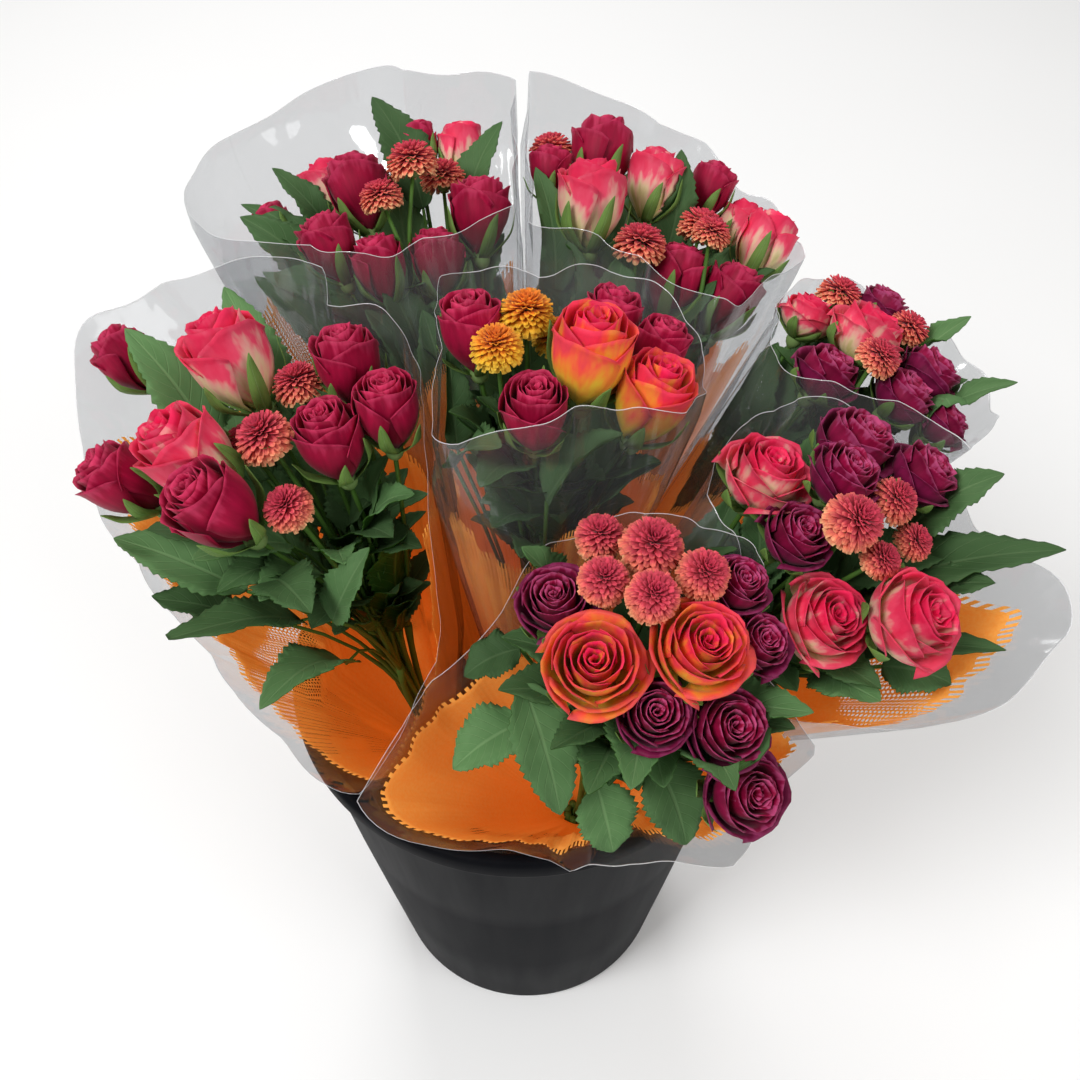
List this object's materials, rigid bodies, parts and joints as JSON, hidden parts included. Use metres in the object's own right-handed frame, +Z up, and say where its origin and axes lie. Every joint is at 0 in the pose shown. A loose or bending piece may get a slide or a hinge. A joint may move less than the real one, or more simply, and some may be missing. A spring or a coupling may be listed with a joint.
{
  "type": "mixed flower bouquet",
  "caption": "Upright bucket of water packed with sleeved bunches of spray roses and spray chrysanthemums, leafy stems, net wraps and clear film.",
  "frame": {"origin": "middle of the bucket's underside", "axes": "+Z up along the bucket's axis, -Y towards the side the picture was taken from, +X to the right in the picture"},
  "size_m": [0.555, 0.5106, 0.5614],
  "materials": {
    "crimson_petals": "velvety",
    "bicolor_petals": "satin",
    "chrysanthemum_petals": "matt",
    "leaves": "satin",
    "clear_film": "clear, glossy",
    "orange_net": "matt, woven",
    "tie": "matt",
    "bucket": "satin",
    "water": "clear"
  },
  "bodies": {
    "root": {"left_crimson_roses": "crimson_petals", "left_bicolor_roses": "bicolor_petals", "left_chrysanthemums": "chrysanthemum_petals", "back_left_crimson_roses": "crimson_petals", "back_left_bicolor_roses": "bicolor_petals", "back_left_chrysanthemums": "chrysanthemum_petals", "back_right_crimson_roses": "crimson_petals", "back_right_bicolor_roses": "bicolor_petals", "back_right_chrysanthemums": "chrysanthemum_petals", "centre_crimson_roses": "crimson_petals", "centre_bicolor_roses": "bicolor_petals", "centre_chrysanthemums": "chrysanthemum_petals", "front_crimson_roses": "crimson_petals", "front_bicolor_roses": "bicolor_petals", "front_chrysanthemums": "chrysanthemum_petals", "right_crimson_roses": "crimson_petals", "right_bicolor_roses": "bicolor_petals", "right_chrysanthemums": "chrysanthemum_petals", "right_back_crimson_roses": "crimson_petals", "right_back_bicolor_roses": "bicolor_petals", "right_back_chrysanthemums": "chrysanthemum_petals", "left_leafy_stems": "leaves", "left_clear_sleeve": "clear_film", "left_orange_net": "orange_net", "left_tie": "tie", "back_left_leafy_stems": "leaves", "back_left_clear_sleeve": "clear_film", "back_left_orange_net": "orange_net", "back_left_tie": "tie", "back_right_leafy_stems": "leaves", "back_right_clear_sleeve": "clear_film", "back_right_orange_net": "orange_net", "back_right_tie": "tie", "centre_leafy_stems": "leaves", "centre_clear_sleeve": "clear_film", "centre_orange_net": "orange_net", "centre_tie": "tie", "front_leafy_stems": "leaves", "front_clear_sleeve": "clear_film", "front_orange_net": "orange_net", "front_tie": "tie", "right_leafy_stems": "leaves", "right_clear_sleeve": "clear_film", "right_orange_net": "orange_net", "right_tie": "tie", "right_back_leafy_stems": "leaves", "right_back_clear_sleeve": "clear_film", "right_back_orange_net": "orange_net", "right_back_tie": "tie", "bucket": "bucket", "water": "water"}
  },
  "joints": []
}
